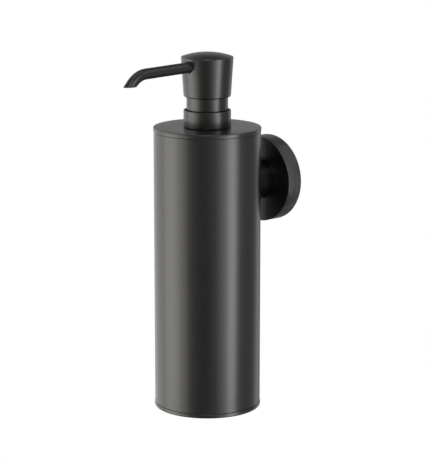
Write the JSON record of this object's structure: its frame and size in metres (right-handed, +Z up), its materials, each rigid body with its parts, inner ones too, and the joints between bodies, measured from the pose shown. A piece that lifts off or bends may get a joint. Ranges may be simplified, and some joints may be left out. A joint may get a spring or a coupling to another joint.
{
  "type": "wall mounted soap dispenser",
  "caption": "Slim round metal soap dispenser on a round wall rosette, with a lift-out bottle and a lotion pump whose thin spout has a bent tip.",
  "frame": {"origin": "centre of the wall plate's back face, on the wall", "axes": "+Z up, +Y into the wall, so the spout points along -Y at rest; +X completes the right-handed set"},
  "size_m": [0.0604, 0.1115, 0.2025],
  "materials": {
    "graphite_coating": "satin, finely brushed",
    "spout_coating": "smooth satin",
    "zinc": "plain cast zinc",
    "stainless_steel": "smooth",
    "bottle_plastic": "milky translucent",
    "white_plastic": "satin",
    "black_plastic": "satin",
    "rubber": "matte"
  },
  "bodies": {
    "holder": {"wall_plate": "zinc", "rosette": "graphite_coating", "grub_screw": "stainless_steel", "arm": "graphite_coating", "saddle_washer": "zinc", "arm_screw": "stainless_steel", "arm_nut": "stainless_steel", "base_cap": "graphite_coating", "outer_case": "graphite_coating"},
    "insert": {"bottle": "bottle_plastic"},
    "top": {"lid": "graphite_coating", "lid_ring": "rubber"},
    "pump": {"pump_housing": "white_plastic", "housing_cap": "black_plastic", "spring_seat": "white_plastic", "dip_tube": "bottle_plastic", "spring": "stainless_steel"},
    "closure_ring": {"closure": "black_plastic", "closure_gasket": "rubber", "collar": "graphite_coating"},
    "plunger": {"stem": "white_plastic", "piston": "black_plastic"},
    "head": {"head_shell": "graphite_coating", "head_core": "black_plastic", "head_sleeve": "graphite_coating", "spout": "spout_coating"},
    "lower_valve": {"inlet_ball": "stainless_steel"},
    "upper_valve": {"outlet_ball": "stainless_steel"}
  },
  "joints": [
    {"name": "insert_lift", "type": "slide", "parent": "holder", "child": "insert", "axis": [0, 0, 1], "range_m": [0, 0.156]},
    {"name": "top_lift", "type": "slide", "parent": "insert", "child": "top", "axis": [0, 0, 1], "range_m": [0, 0.152]},
    {"name": "pump_rise", "type": "slide", "parent": "top", "child": "pump", "axis": [0, 0, 1], "range_m": [0, 0.006]},
    {"name": "collar_turn", "type": "hinge", "parent": "pump", "child": "closure_ring", "pos_m": [0, -0.0506, 0.0347], "axis": [0, 0, 1], "range_deg": [0, 720]},
    {"name": "pump_press", "type": "slide", "parent": "pump", "child": "plunger", "axis": [0, 0, -1], "range_m": [0, 0.0068], "stiffness_N_per_m": 600, "springref_m": -0.006, "deforming": ["spring"]},
    {"name": "head_swivel", "type": "hinge", "parent": "plunger", "child": "head", "pos_m": [0, -0.0506, 0.0595], "axis": [0, 0, 1], "continuous": true},
    {"name": "inlet_ball_lift", "type": "slide", "parent": "pump", "child": "lower_valve", "axis": [0, 0, 1], "range_m": [0, 0.0015]},
    {"name": "outlet_ball_lift", "type": "slide", "parent": "plunger", "child": "upper_valve", "axis": [0, 0, 1], "range_m": [0, 0.0015]}
  ],
  "couplings": [
    {"joint": "collar_turn", "follows": "pump_rise", "rad_per_m": 2094.4}
  ]
}
